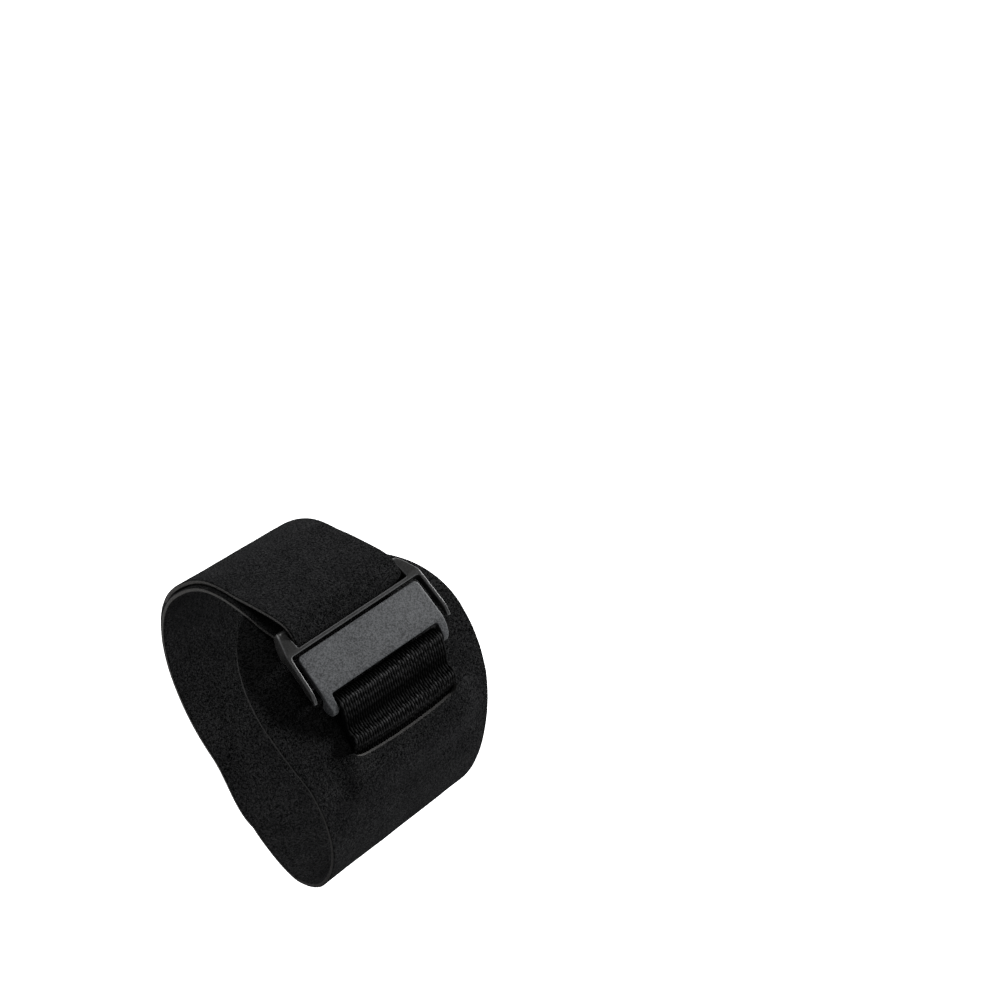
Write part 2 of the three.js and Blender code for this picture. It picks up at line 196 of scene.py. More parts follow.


# Marks how sharply the skin bends outwards at each point, for painted highlights on the edges
def markEdges(obj):
    mesh = obj.data
    place, normal = np.empty(len(mesh.vertices) * 3), np.empty(len(mesh.vertices) * 3)
    mesh.vertices.foreach_get("co", place)
    mesh.vertices.foreach_get("normal", normal)
    place, normal = place.reshape(-1, 3), normal.reshape(-1, 3)
    ends = np.empty(len(mesh.edges) * 2, "i")
    mesh.edges.foreach_get("vertices", ends)
    ends = ends.reshape(-1, 2)
    around, number = np.zeros_like(place), np.zeros((len(place), 1))
    for here, there in (ends.T, ends.T[::-1]):
        np.add.at(around, here, place[there])
        np.add.at(number, here, 1)
    bend = ((place - around / number) * normal).sum(1) / (buckle["voxel"] * mm)
    bend = np.clip((bend - edgeHighlight["from"]) / edgeHighlight["span"], 0, 1)
    for _ in range(edgeHighlight["blurs"]):
        near = np.zeros_like(bend)
        for here, there in (ends.T, ends.T[::-1]):
            np.add.at(near, here, bend[there])
        bend = (bend + near / number[:, 0]) / 2
    mesh.attributes.new("edge", "FLOAT", "POINT").data.foreach_set("value", bend.astype("f"))


# Shader helper: node sockets as numbers


class Socket:
    def __init__(self, tree, socket):
        self.tree, self.socket = tree, socket

    def math(self, operation, *others, clamp=False):
        node = self.tree.nodes.new("ShaderNodeMath")
        node.operation, node.use_clamp = operation, clamp
        for slot, value in zip(node.inputs, (self, *others)):
            if isinstance(value, Socket):
                self.tree.links.new(value.socket, slot)
            else:
                slot.default_value = value
        return Socket(self.tree, node.outputs[0])

    def __add__(self, other):
        return self.math("ADD", other)

    def __sub__(self, other):
        return self.math("SUBTRACT", other)

    def __mul__(self, other):
        return self.math("MULTIPLY", other)

    def __rsub__(self, other):
        return (self * -1) + other

    __radd__, __rmul__ = __add__, __mul__

    def size(self):
        return self.math("ABSOLUTE")

    # 0 below low and 1 above high, with a soft step between
    def step(self, low, high):
        return (self - low).math("DIVIDE", high - low, clamp=True)


# A material with its node tree: node() makes a node from its type, settings and inputs
class Surface:
    def __init__(self, name, slotName):
        self.material = bpy.data.materials.new(name)
        self.material.use_nodes = True
        self.tree = self.material.node_tree
        self.shader = self.tree.nodes["Principled BSDF"]
        self.slotName = slotName

    def node(self, kind, settings=None, inputs=None, output=0):
        made = self.tree.nodes.new(kind)
        for key, value in (settings or {}).items():
            setattr(made, key, value)
        for key, value in (inputs or {}).items():
            if isinstance(value, Socket):
                self.tree.links.new(value.socket, made.inputs[key])
            else:
                made.inputs[key].default_value = value
        return Socket(self.tree, made.outputs[output])

    def place(self):
        return self.node("ShaderNodeTexCoord", output=3)

    def attribute(self, key):
        return self.node("ShaderNodeAttribute", {"attribute_name": key}, output=2)

    # Noise with a grain size in millimetres
    def noise(self, grain, detail=2.0, place=None):
        inputs = {"Vector": place or self.place(), "Scale": 1 / (grain * mm), "Detail": detail}
        return self.node("ShaderNodeTexNoise", inputs=inputs)

    def blend(self, share, first, second):
        made = self.tree.nodes.new("ShaderNodeMix")
        made.data_type = "RGBA"
        self.tree.links.new(share.socket, made.inputs[0])
        for slot, value in ((made.inputs[6], first), (made.inputs[7], second)):
            if isinstance(value, Socket):
                self.tree.links.new(value.socket, slot)
            else:
                slot.default_value = (*value, 1)
        return Socket(self.tree, made.outputs[2])

    def bump(self, height, strength, distance):
        inputs = {"Height": height, "Strength": strength, "Distance": distance * mm}
        return self.node("ShaderNodeBump", inputs=inputs)

    def set(self, **inputs):
        for key, value in inputs.items():
            slot = self.shader.inputs[key.replace("_", " ")]
            if isinstance(value, Socket):
                self.tree.links.new(value.socket, slot)
            else:
                slot.default_value = (*value, 1) if isinstance(value, tuple) else value
        return self

    def paint(self, *objects):
        for obj in objects:
            obj.data.materials.clear()
            obj.data.materials.append(self.material)


# Pad and strap: one laminate, from the lobe under the buckle round to the folded end

pad = {
    "lobeRadius": 38.0,
    "lobeCentreX": -2.8,
    "lobeCentreAngle": 6.4,
    "lobeTipShare": 0.995,
    "narrowsTo": 185.0,
    # the rest of the pad's cut edge is painted shade
    "shadedEdgeFoam": 0.3,  # how much of the foam's tone the pad's cut edge shows
    "paleFrom": 130.0,
    # angle, edge on the -X side, edge on the +X side, the edges as shares of the lobe's radius
    "edges": [
        (6.4, 1.0, 1.0),
        (16, 0.985, 0.99),
        (25, 0.957, 0.968),
        (35, 0.908, 0.93),
        (47, 0.876, 0.866),
        (60, 0.857, 0.795),
        (75, 0.85, 0.727),
        (90, 0.845, 0.68),
        (115, 0.78, 0.64),
        (150, 0.62, 0.615),
    ],
}

slit = {
    "angle": 33.3,
    "halfLength": 20.8,
    "openTo": 20.12,  # the cut's round ends
    "width": 2.8,
    "squareness": 14,  # how late the cut narrows towards its ends
    "blunt": 0.03,
    "bow": 2.2,
    "fullness": 0.96,  # 1 turns the bow's ends square to the slit
    "raise": 1.7,  # the pad stands this much over the elastic's tail
    "flat": 9.0,
    "fall": 9.0,
    "sideFall": 8.0,
    "creaseAt": 3.9,
    "creaseDeep": 0.4,
}

strap = {
    "halfWidth": 20.6,
    "drift": -1.4,
    "riseFrom": 277.0,
    "riseTo": 306.0,
    "leaves": 331.0,
    "landsAt": 314.0,
    "endAt": 262.0,
    "tabLength": 16.0,
}

rearBar = {"y": 15.2, "z": 47.7, "halfY": 1.6, "halfZ": 2.3}
rim = {"y": 9.1, "thick": 1.2, "rise": 0.3}


def slitShift(x):
    share = np.minimum(np.abs(x) / slit["halfLength"], 1)
    return slit["bow"] * (1 - np.sqrt(1 - slit["fullness"] * share * share))


def padRaise(x, angle):
    past = np.radians(angle - slit["angle"]) * reachAt(slit["angle"]) + slitShift(x)
    across = 1 - smooth(np.abs(x), elastic["halfWidth"] + 1, slit["halfLength"] + slit["sideFall"])
    along = smooth(past, -0.5, 0.8) * (1 - smooth(past, slit["flat"], slit["flat"] + slit["fall"]))
    crease = slit["creaseDeep"] * np.exp(-(((past - slit["creaseAt"]) / 1.1) ** 2))
    return across * (slit["raise"] * along - np.where(past > 1.5, crease, 0))


elastic = {
    "thick": 1.2,
    "halfWidth": 20.0,
    "tail": 9.0,
    "ridge": 3.7,
    "ridgeAt": 4.6,
    "valleyAt": 8.6,
    "ribs": 44,
    "ribRadius": 0.48,
    "cell": 2.7,  # length of one stitch of the weave along a rib
    "swell": 0.22,  # how much a rib swells and thins along a stitch, as a share of its radius
    "slim": 0.84,
    "oddPhase": 1.3,  # how far every second rib's stitches stand ahead, in radians
    "loosePhase": 0.8,
    "seed": 5,
    "voxel": 0.24,
    "passes": 3,
}
bar = {"y": -9.9, "z": 47.5, "radius": 1.3}


def bandEdges(angle):
    middle, radius = pad["lobeCentreX"], pad["lobeRadius"]
    if angle < pad["lobeCentreAngle"]:
        along = math.radians(pad["lobeCentreAngle"] - angle) * reachAt(0)
        half = math.sqrt(max(radius**2 - along**2, 0))
        return middle - half, middle + half
    table = np.array(pad["edges"])
    low = middle - radius * np.interp(angle, table[:, 0], table[:, 1])
    high = middle + radius * np.interp(angle, table[:, 0], table[:, 2])
    share = smooth(angle, table[-1, 0], pad["narrowsTo"])
    return (
        low + (strap["drift"] - strap["halfWidth"] - low) * share,
        high + (strap["drift"] + strap["halfWidth"] - high) * share,
    )


def lowerHeight(angle):
    return layerThick / 2 + (layerThick + gap) * smooth(angle, strap["riseFrom"], strap["riseTo"])


# Smooth curve through points, with spans sized by the square root of their length
def curveThrough(points, ts):
    points = [np.array(p, float) for p in points]
    padded = [2 * points[0] - points[1], *points, 2 * points[-1] - points[-2]]
    out = []
    for t in ts:
        place = t * (len(points) - 1)
        i = min(int(place), len(points) - 2)
        w = place - i
        p0, p1, p2, p3 = padded[i : i + 4]
        d0, d1, d2 = (max(np.linalg.norm(b - a) ** 0.5, 1e-4) for a, b in ((p0, p1), (p1, p2), (p2, p3)))
        m1 = ((p1 - p0) / d0 - (p2 - p0) / (d0 + d1) + (p2 - p1) / d1) * d1
        m2 = ((p2 - p1) / d1 - (p3 - p1) / (d1 + d2) + (p3 - p2) / d2) * d1
        a, b = 2 * p1 - 2 * p2 + m1 + m2, -3 * p1 + 3 * p2 - 2 * m1 - m2
        out.append(((a * w + b) * w + m1) * w + p1)
    return np.array(out)


# Stations of the band: middle of the layer, its two edges, and the pad's angle or None
def bandStations():
    out = []
    tip = math.acos(math.sqrt(1 - pad["lobeTipShare"] ** 2))
    for turn in np.linspace(tip, 0, 44)[:-1]:
        angle = pad["lobeCentreAngle"] - degreesOf(pad["lobeRadius"] * math.sin(turn), 0)
        out.append((loopPoint(angle, layerThick / 2), bandEdges(angle), angle))
    slitFrom, slitTo = 26, 54  # degrees between which the stations stand closer
    angles = [*np.arange(pad["lobeCentreAngle"], slitFrom, 0.9), *np.arange(slitFrom, slitTo, 0.45)]
    angles += list(np.arange(slitTo, strap["leaves"], 1.2))
    for angle in [*angles, strap["leaves"]]:
        out.append((loopPoint(angle, lowerHeight(angle)), bandEdges(angle), angle))
    half, up = layerThick / 2, layerThick + gap
    under = rearBar["z"] - rearBar["halfZ"] - gap - half
    over = rearBar["z"] + rearBar["halfZ"] + gap + half
    foldBack = rim["y"] + rim["thick"] / 2 + gap + half
    lands = loopPoint(strap["landsAt"], lowerHeight(strap["landsAt"]) + up)
    near = loopPoint(strap["landsAt"] - 4, lowerHeight(strap["landsAt"] - 4) + up)
    free = [
        out[-1][0],
        (rearBar["y"], under),
        (rearBar["y"] - 2.6, under + 0.35),
        (foldBack + 0.35, rearBar["z"] - 1.9),
        (foldBack, rearBar["z"]),
        (foldBack + 0.45, rearBar["z"] + 2),
        (rearBar["y"] - 2.2, over - 0.15),
        (rearBar["y"] + 1, over + 0.1),
        (rearBar["y"] + 4.2, over - 1.6),
        ((rearBar["y"] + 4.2 + lands[0]) / 2, (over - 1.6 + lands[1]) / 2 + 0.5),
        lands,
        near,
    ]
    ts = np.linspace(0, 1 - 1 / (len(free) - 1), 130)[1:]
    for t, middle in zip(ts, curveThrough(free, ts)):
        centre = strap["drift"] * max(0, 1 - t / 0.3)
        out.append((middle, (centre - strap["halfWidth"], centre + strap["halfWidth"]), None))
    for angle in np.arange(strap["landsAt"], strap["endAt"], -1.2)[1:].tolist() + [strap["endAt"]]:
        middle = loopPoint(angle, lowerHeight(angle) + up)
        out.append((middle, (-strap["halfWidth"], strap["halfWidth"]), None))
    return out


# The pad's cut edge is darkened with painted shade, and the strap's edge shows its pale foam
def paleShare(angle):
    if angle is None:
        return 1.0
    dark = pad["shadedEdgeFoam"]
    return dark + (1 - dark) * float(smooth(angle, pad["paleFrom"], pad["narrowsTo"]))


# Layer of even thickness through stations, with softened edges; depth runs from 1 outside to -1 inside
def layerMesh(name, stations, columns):
    half, soft = layerThick / 2, 0.28
    depths, pales, rings = [], [], []
    ease = [(math.sin(a), math.cos(a)) for a in np.radians([15, 45, 75])]
    for i, (middle, (low, high), angle) in enumerate(stations):
        before, after = stations[max(i - 1, 0)][0], stations[min(i + 1, len(stations) - 1)][0]
        along = np.array(after) - np.array(before)
        along /= np.linalg.norm(along)
        out = np.array([along[1], -along[0]])
        inner = np.linspace(low + soft, high - soft, columns)
        ring = [(x, half) for x in inner]
        ring += [(high - soft + soft * s, half - soft + soft * c) for s, c in ease]
        ring += [(high, 0.0)]
        ring += [(high - soft + soft * s, -(half - soft + soft * c)) for s, c in reversed(ease)]
        ring += [(x, -half) for x in inner[::-1]]
        ring += [(low + soft - soft * s, -(half - soft + soft * c)) for s, c in ease]
        ring += [(low, 0.0)]
        ring += [(low + soft - soft * s, half - soft + soft * c) for s, c in reversed(ease)]
        ring = np.array(ring)
        away = ring[:, 1].copy()
        if angle is not None and angle < 60:
            away += padRaise(ring[:, 0], angle)
        rings.append(np.column_stack([ring[:, 0], middle[0] + out[0] * away, middle[1] + out[1] * away]))
        depths += list(ring[:, 1] / half)
        pales += [paleShare(angle)] * len(ring)
    count = len(rings[0])
    faces = []
    for i in range(len(rings) - 1):
        for j in range(count):
            a, b = i * count + j, i * count + (j + 1) % count
            faces.append((a, a + count, b + count, b))
    last = (len(rings) - 1) * count
    # the ring's two halves face each other, so strips between them close the ends
    for j in range(-4, columns + 3):
        strip = [j, j + 1, 2 * columns + 5 - j, 2 * columns + 6 - j]
        strip = list(dict.fromkeys(k % count for k in strip))
        faces += [tuple(strip), tuple(last + k for k in reversed(strip))]
    places = shaped(np.concatenate(rings), unevenCloth)
    return meshObject(name, places, faces, {"depth": depths, "pale": pales})


def slitCutter():
    y, z = loopPoint(slit["angle"])
    xs = slit["openTo"] * np.sin(np.linspace(-math.pi / 2, math.pi / 2, 91))
    shares = 1 - np.abs(xs / slit["openTo"]) ** slit["squareness"]
    halves = slit["width"] / 2 * np.sqrt(np.maximum(shares, slit["blunt"]))
    shape = [np.array([x, slitShift(x) + h]) for x, h in zip(xs, halves)]
    shape += [np.array([x, slitShift(x) - h]) for x, h in list(zip(xs, halves))[::-1]]
    cutter = prism("slit_cutter", shape, -2, 4)
    cutter.data.materials.append(None)
    cutter.data.materials.append(edgeMaterial.material)
    cutter.data.polygons.foreach_set("material_index", [1] * len(cutter.data.polygons))
    half = loop["padHalf"]
    normal = Vector((0, y / half**2, z / loop["depthHalf"] ** 2)).normalized()
    turn = Matrix.Rotation(math.atan2(-normal.y, normal.z), 4, "X")
    cutter.data.transform(Matrix.Translation(Vector((0, y, z)) * mm) @ turn)
    return cutter


print("scene: pad and strap")
edgeMaterial = Surface("cut_edge", "velour")
band = layerMesh("pad_and_strap", bandStations(), 46)
band.data.materials.append(None)
band.data.materials.append(edgeMaterial.material)
band = combined(triangulated(band), slitCutter(), "DIFFERENCE")
smoothShaded(band, sharpCloth)
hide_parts("band")
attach(band, "root")

print("scene: hook tab")
tabFrom = strap["endAt"] - degreesOf(gap, strap["endAt"])
tabTo = tabFrom - degreesOf(strap["tabLength"], strap["endAt"])
tabStations = [
    (loopPoint(a, lowerHeight(a) + layerThick + gap), (-strap["halfWidth"], strap["halfWidth"]), None)
    for a in np.linspace(tabFrom, tabTo, 24)
]
hookTab = smoothShaded(layerMesh("hook_tab_end", tabStations, 30), sharpCloth)
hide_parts("hook_tab")
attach(hookTab, "root")

# Elastic: round the buckle's bar, sewn to itself, down through the slit


def onPad(fromSlit, height):
    return loopPoint(slit["angle"] - degreesOf(fromSlit, slit["angle"]), height)


def roundBar(turn, radius):
    a = math.radians(turn)
    return np.array([bar["y"] + radius * math.cos(a), bar["z"] + radius * math.sin(a)])


# Section of the elastic: rows of place and how far the place follows the slit's bow
def elasticSection():
    thick, outer, low = elastic["thick"], layerThick + gap, 0.05
    ring = bar["radius"] + gap + thick
    ridge, valley = elastic["ridgeAt"], elastic["valleyAt"]
    under = [(roundBar(t, ring), 0) for t in np.linspace(110, -100, 22)]
    under += [(onPad(valley + 2.4, outer + 0.12), 0), (onPad(valley, outer), 0)]
    through = ((ridge, outer), (2.3, outer), (1.2, outer - 0.15), (-0.2, 0.6), (-1.4, low))
    under += [(onPad(p, h), 1) for p, h in (*through, (-4, low), (-elastic["tail"], low))]
    top = [(onPad(p, low + thick), 1) for p in (-elastic["tail"], -4, -2)]
    rise = (
        (-0.9, low + thick + 0.2),
        (0.4, outer + thick - 0.9),
        (1.7, outer + thick + 0.3),
        (ridge - 1.6, outer + elastic["ridge"] - 0.6),
        (ridge - 0.3, outer + elastic["ridge"] - 0.1),
        (ridge + 0.8, outer + elastic["ridge"] - 0.3),
    )
    top += [(onPad(p, h), 1) for p, h in rise]
    double = outer + 2 * thick
    top += [(onPad(valley + p, double + h), 0) for p, h in ((-1, 0), (0.6, 0), (1.8, 0.7), (3, 1.9))]
    return under, top


def elasticBody():
    under, top = elasticSection()
    section = under + top
    step = np.array(onPad(1, 1)) - np.array(onPad(0, 1))
    xs = np.linspace(-elastic["halfWidth"], elastic["halfWidth"], 41)
    rings = []
    for x in xs:
        rings.append([(x, *(np.array(p) + step * float(slitShift(x)) * w)) for p, w in section])
    count = len(section)
    faces = []
    for i in range(len(xs) - 1):
        for j in range(count):
            a, b = i * count + j, i * count + (j + 1) % count
            faces.append((a, b, b + count, a + count))
    last = (len(xs) - 1) * count
    faces += [tuple(reversed(range(count))), tuple(range(last, last + count))]
    obj = meshObject("elastic_body", np.array(rings).reshape(-1, 3), faces)
    tube = bar["radius"] + gap
    hole = [roundBar(t, tube) for t in np.linspace(130, -110, 30)]
    hole.append(np.array(onPad(elastic["valleyAt"] + 2.6, layerThick + gap + elastic["thick"] + 0.1)))
    width = elastic["halfWidth"] + 1
    return combined(obj, prism("elastic_hole", hole, -width, width, crossing=True), "DIFFERENCE")


print("scene: elastic")
elasticPiece = moulded(elasticBody(), elastic["voxel"], elastic["passes"])
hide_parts("elastic_tab")
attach(elasticPiece, "root")


# Node group with named inputs that lays woven ribs side by side across the elastic
def ribTree():
    tree = bpy.data.node_groups.new("woven_ribs", "GeometryNodeTree")
    tree.interface.new_socket("Geometry", in_out="OUTPUT", socket_type="NodeSocketGeometry")
    kinds = {"Path": "Geometry", "Ribs": "Int", "Half Width": "Float", "Rib Radius": "Float"}
    kinds |= {"Stitch Length": "Float", "Seed": "Int", "Material": "Material"}
    for name, kind in kinds.items():
        tree.interface.new_socket(name, in_out="INPUT", socket_type="NodeSocket" + kind)
    given = tree.nodes.new("NodeGroupInput").outputs

    def add(kind, settings=None, inputs=None):
        node = tree.nodes.new(kind)
        for key, value in (settings or {}).items():
            setattr(node, key, value)
        for key, value in (inputs or {}).items():
            if isinstance(value, bpy.types.NodeSocket):
                tree.links.new(value, node.inputs[key])
            else:
                node.inputs[key].default_value = value
        return node.outputs

    def sums(operation, first, second=0.0):
        return add("ShaderNodeMath", {"operation": operation}, {0: first, 1: second})[0]

    def stored(geometry, name, value):
        inputs = {"Geometry": geometry, "Name": name, "Value": value}
        return add("GeometryNodeStoreNamedAttribute", {"data_type": "FLOAT", "domain": "POINT"}, inputs)[0]

    def named(name):
        return add("GeometryNodeInputNamedAttribute", {"data_type": "FLOAT"}, {"Name": name})[0]

    path = add("GeometryNodeMeshToCurve", inputs={"Mesh": given["Path"]})[0]
    width = sums("MULTIPLY", given["Half Width"], 2.0)
    pitch = sums("DIVIDE", width, given["Ribs"])
    first = sums("SUBTRACT", sums("MULTIPLY", pitch, 0.5), given["Half Width"])
    start = add("ShaderNodeCombineXYZ", inputs={"X": first})[0]
    offset = add("ShaderNodeCombineXYZ", inputs={"X": pitch})[0]
    inputs = {"Count": given["Ribs"], "Start Location": start, "Offset": offset}
    row = add("GeometryNodeMeshLine", inputs=inputs)[0]
    points = add("GeometryNodeMeshToPoints", inputs={"Mesh": row})[0]
    index = add("GeometryNodeInputIndex")[0]
    inputs = {2: -elastic["loosePhase"], 3: elastic["loosePhase"], "ID": index, "Seed": given["Seed"]}
    phase = add("FunctionNodeRandomValue", {"data_type": "FLOAT"}, inputs)[1]
    odd = sums("MULTIPLY", sums("MODULO", index, 2.0), elastic["oddPhase"])
    points = stored(points, "turn", sums("ADD", odd, phase))
    laid = add("GeometryNodeInstanceOnPoints", inputs={"Points": points, "Instance": path})[0]
    real = add("GeometryNodeRealizeInstances", inputs={"Geometry": laid})[0]
    # the slit's bow moves each point by its own share, towards the buckle
    across = add("ShaderNodeSeparateXYZ", inputs={0: add("GeometryNodeInputPosition")[0]})[0]
    share = sums("MINIMUM", sums("DIVIDE", sums("ABSOLUTE", across), slit["halfLength"] * mm), 1.0)
    flat = sums("SUBTRACT", 1.0, sums("MULTIPLY", sums("MULTIPLY", share, share), slit["fullness"]))
    curved = sums("SUBTRACT", 1.0, sums("SQRT", flat))
    shift = sums("MULTIPLY", sums("MULTIPLY", curved, slit["bow"] * mm), named("bow"))
    stepY, stepZ = (float(v) for v in np.array(onPad(1, 1)) - np.array(onPad(0, 1)))
    inputs = {"Y": sums("MULTIPLY", shift, stepY), "Z": sums("MULTIPLY", shift, stepZ)}
    offset = add("ShaderNodeCombineXYZ", inputs=inputs)[0]
    moved = add("GeometryNodeSetPosition", inputs={"Geometry": real, "Offset": offset})[0]
    # each rib swells and thins along its length, out of step with the next
    run = add("GeometryNodeSplineParameter")[1]
    turns = sums("DIVIDE", sums("MULTIPLY", run, 2 * math.pi), given["Stitch Length"])
    wave = sums("SINE", sums("ADD", turns, named("turn")))
    swell = sums("ADD", sums("MULTIPLY", wave, elastic["swell"]), elastic["slim"])
    radius = sums("MULTIPLY", swell, given["Rib Radius"])
    # crown marks the swollen middle of each stitch, where the yarn's colour takes a painted highlight
    crowned = stored(moved, "crown", sums("ADD", sums("MULTIPLY", wave, 0.5), 0.5))
    ring = add("GeometryNodeCurvePrimitiveCircle", inputs={"Resolution": 6, "Radius": 1.0})[0]
    inputs = {"Curve": crowned, "Profile Curve": ring, "Scale": radius, "Fill Caps": True}
    cords = add("GeometryNodeCurveToMesh", inputs=inputs)[0]
    whole = add("GeometryNodeRealizeInstances", inputs={"Geometry": cords})[0]
    done = add("GeometryNodeSetMaterial", inputs={"Geometry": whole, "Material": given["Material"]})[0]
    out = tree.nodes.new("NodeGroupOutput")
    tree.links.new(done, out.inputs[0])
    return tree


# Rising Y against the share of painted light on the yarn there, from the slit to the bar: low values are
# painted shade in the valley, at the slit and in the plate's shadow
def paintedYarnLightTable():
    ridge, valley = elastic["ridgeAt"], elastic["valleyAt"]
    fromSlit = [-3, 0.6, ridge - 1.6, ridge + 0.6, valley - 1.2, valley + 1, valley + 3.4, valley + 5.2]
    ys = [onPad(p, 3)[0] for p in fromSlit] + [bar["y"] + 0.3, bar["y"] + 1.3]
    return ys, [0, 0.1, 0.7, 1, 0.12, 0.02, 0.22, 0.8, 1, 0]


def ribPath():
    under, top = elasticSection()
    rows = [(roundBar(t, bar["radius"] + gap + elastic["thick"]), 0) for t in np.linspace(-20, 100, 12)]
    rows += list(reversed(top))[:-2]
    places = np.array([p for p, w in rows])
    # share of painted light at each place: painted shade in the valley, at the slit and under the plate
    paintedYarnLight = np.interp([p[0] for p in places], *paintedYarnLightTable())
    weights = np.array([w for p, w in rows], float)
    ts = np.linspace(0, 1, 190)
    order = range(len(rows))
    at = ts * (len(rows) - 1)
    marks = {"bow": np.interp(at, order, weights), "paintedYarnLight": np.interp(at, order, paintedYarnLight)}
    points = [(0, y, z) for y, z in curveThrough(places, ts)]
    return meshObject("elastic_ribs", points, [], marks, [(i, i + 1) for i in range(len(points) - 1)])


ribMaterial = Surface("elastic_yarn", "elastic")
ribs = ribPath()
weave = ribs.modifiers.new("weave", "NODES")
weave.node_group = ribTree()
given = {
    "Ribs": elastic["ribs"],
    "Half Width": elastic["halfWidth"] * mm,
    "Rib Radius": elastic["ribRadius"] * mm,
    "Stitch Length": elastic["cell"] * mm,
    "Seed": elastic["seed"],
    "Material": ribMaterial.material,
}
for item in weave.node_group.interface.items_tree:
    if item.in_out == "INPUT" and item.name in given:
        weave[item.identifier] = given[item.name]
ribs = smoothShaded(settled(ribs))
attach(ribs, "root")

# Buckle: frame with its rim and arms, and plate with its legs

buckle = {
    "top": 51.6,
    "plateThick": 2.0,
    "upperY": 7.5,
    "lowerY": -6.3,
    "upperHalf": 23.3,
    "lowerHalf": 23.6,
    "corner": 1.6,
    "legEndY": -12.3,
    "legWidth": 2.9,
    "legTaper": 1.2,
    "windowHalf": 20.7,
    "frameHalf": 26.0,
    "flare": 0.7,
    "armThick": 1.1,
    "armEndY": -6.9,
    "armDeep": 3.1,
    "rearHalf": 23.2,
    "slotHalf": 21.2,
    "crossY": -0.8,
    "crossWide": 3.4,
    "crossDeep": 1.9,
    "voxel": 0.18,
    "passes": 9,
}


def frameBody():
    b, top = buckle, buckle["top"] + rim["rise"]
    rimBack, rimFront = rim["y"] + rim["thick"] / 2, rim["y"] - rim["thick"] / 2
    rearEnd, low = rearBar["y"] + rearBar["halfY"], rearBar["z"] - rearBar["halfZ"]
    body = mirrored([
        (b["rearHalf"], rearEnd, 1),
        (b["frameHalf"], rimBack, 1.2),
        (b["frameHalf"] + b["flare"], b["armEndY"], 0.5),
        (b["frameHalf"] + b["flare"] - b["armThick"], b["armEndY"], 0.4),
        (b["frameHalf"] - b["armThick"], rimFront, 1.2),
    ])
    side = rounded([
        (rearEnd, low + 1.2, 0.8),
        (rearEnd + 0.1, rearBar["z"] + 1.2, 1.2),
        (rearBar["y"] - 0.4, top - 1.5, 1),
        (rimBack + 0.5, top, 1),
        (b["armEndY"] + 3, top, 2),
        (b["armEndY"], top - 1.9, 0.7),
        (b["armEndY"] + 1, top - b["armDeep"] + 0.4, 1),
        (rimFront - 1.6, top - b["armDeep"], 2),
        (rimBack + 1, low + 1.2, 2),
        (rearBar["y"] - 1, low + 0.5, 1),
    ])
    slot = rounded([
        (-b["slotHalf"], rimBack, 0.3),
        (b["slotHalf"], rimBack, 0.3),
        (b["slotHalf"], rearEnd + 3, 0),
        (-b["slotHalf"], rearEnd + 3, 0),
    ])
    barLow = b["top"] - b["plateThick"] - gap - b["crossDeep"]
    halfWide = b["crossWide"] / 2
    cross = rounded([
        (b["crossY"] - halfWide, barLow, 0.5),
        (b["crossY"] + halfWide, barLow, 0.5),
        (b["crossY"] + halfWide, barLow + b["crossDeep"], 0.5),
        (b["crossY"] - halfWide, barLow + b["crossDeep"], 0.5),
    ])
    wide = b["frameHalf"] + 2
    obj = prism("frame_body", rounded(body), low - 2, top + 1)
    obj = combined(obj, prism("frame_slot", slot, low - 3, top + 2), "DIFFERENCE")
    obj = combined(obj, prism("frame_side", side, -wide, wide, crossing=True), "INTERSECT")
    rear = oval(rearBar["y"], rearBar["z"], rearBar["halfY"], rearBar["halfZ"])
    reach = b["slotHalf"] + 1.1
    obj = combined(obj, prism("frame_rear", rear, -reach, reach, crossing=True), "UNION")
    reach = b["frameHalf"] - b["armThick"] / 2
    return combined(obj, prism("frame_cross", cross, -reach, reach, crossing=True), "UNION")


def plateBody():
    b = buckle
    under = b["top"] - b["plateThick"]
    face = mirrored([
        (b["upperHalf"], b["upperY"], b["corner"]),
        (b["lowerHalf"], b["lowerY"], 1),
        (b["lowerHalf"] - 0.2 * b["legTaper"], bar["y"] + 0.8, 2),
        (b["lowerHalf"] - b["legTaper"], b["legEndY"], 1.2),
        (b["windowHalf"], b["legEndY"], 0.5),
        (b["windowHalf"], b["lowerY"], 0.9),
    ])
    side = rounded([
        (b["upperY"] + 1, under, 0),
        (b["upperY"] + 1, b["top"], 0),
        (b["lowerY"] + 0.4, b["top"], 2),
        (bar["y"] - 1, b["top"] - 1.9, 1.5),
        (b["legEndY"], bar["z"], 1.6),
        (bar["y"] - 1.2, bar["z"] - bar["radius"] - 0.5, 1),
        (bar["y"] + 1.6, bar["z"] - bar["radius"] - 0.2, 1),
        (bar["y"] + 2.4, under - 1.6, 0.8),
        (b["lowerY"] - 0.4, under, 0.8),
    ])
    front = b["crossY"] + b["crossWide"] / 2 + gap
    lip = rounded([
        (front, under - 3.2, 0.5),
        (front + 2, under - 3.2, 0.5),
        (front + 2, under + 0.5, 0),
        (front, under + 0.5, 0),
    ])
    wide = b["frameHalf"]
    obj = prism("plate_body", rounded(face), bar["z"] - 4, b["top"] + 1)
    obj = combined(obj, prism("plate_side", side, -wide, wide, crossing=True), "INTERSECT")
    rod = oval(bar["y"], bar["z"], bar["radius"], bar["radius"])
    reach = b["windowHalf"] + b["legWidth"] / 2
    obj = combined(obj, prism("plate_rod", rod, -reach, reach, crossing=True), "UNION")
    return combined(obj, prism("plate_lip", lip, -14, 14, crossing=True), "UNION")


print("scene: buckle")
framePiece = moulded(frameBody(), buckle["voxel"], buckle["passes"])
framePiece.name = "moulded_frame"
markEdges(framePiece)
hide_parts("buckle_frame")
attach(framePiece, "root")
platePiece = moulded(plateBody(), buckle["voxel"], buckle["passes"])
platePiece.name = "moulded_plate"
markEdges(platePiece)
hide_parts("buckle_plate")
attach(platePiece, "root")

# Surfaces


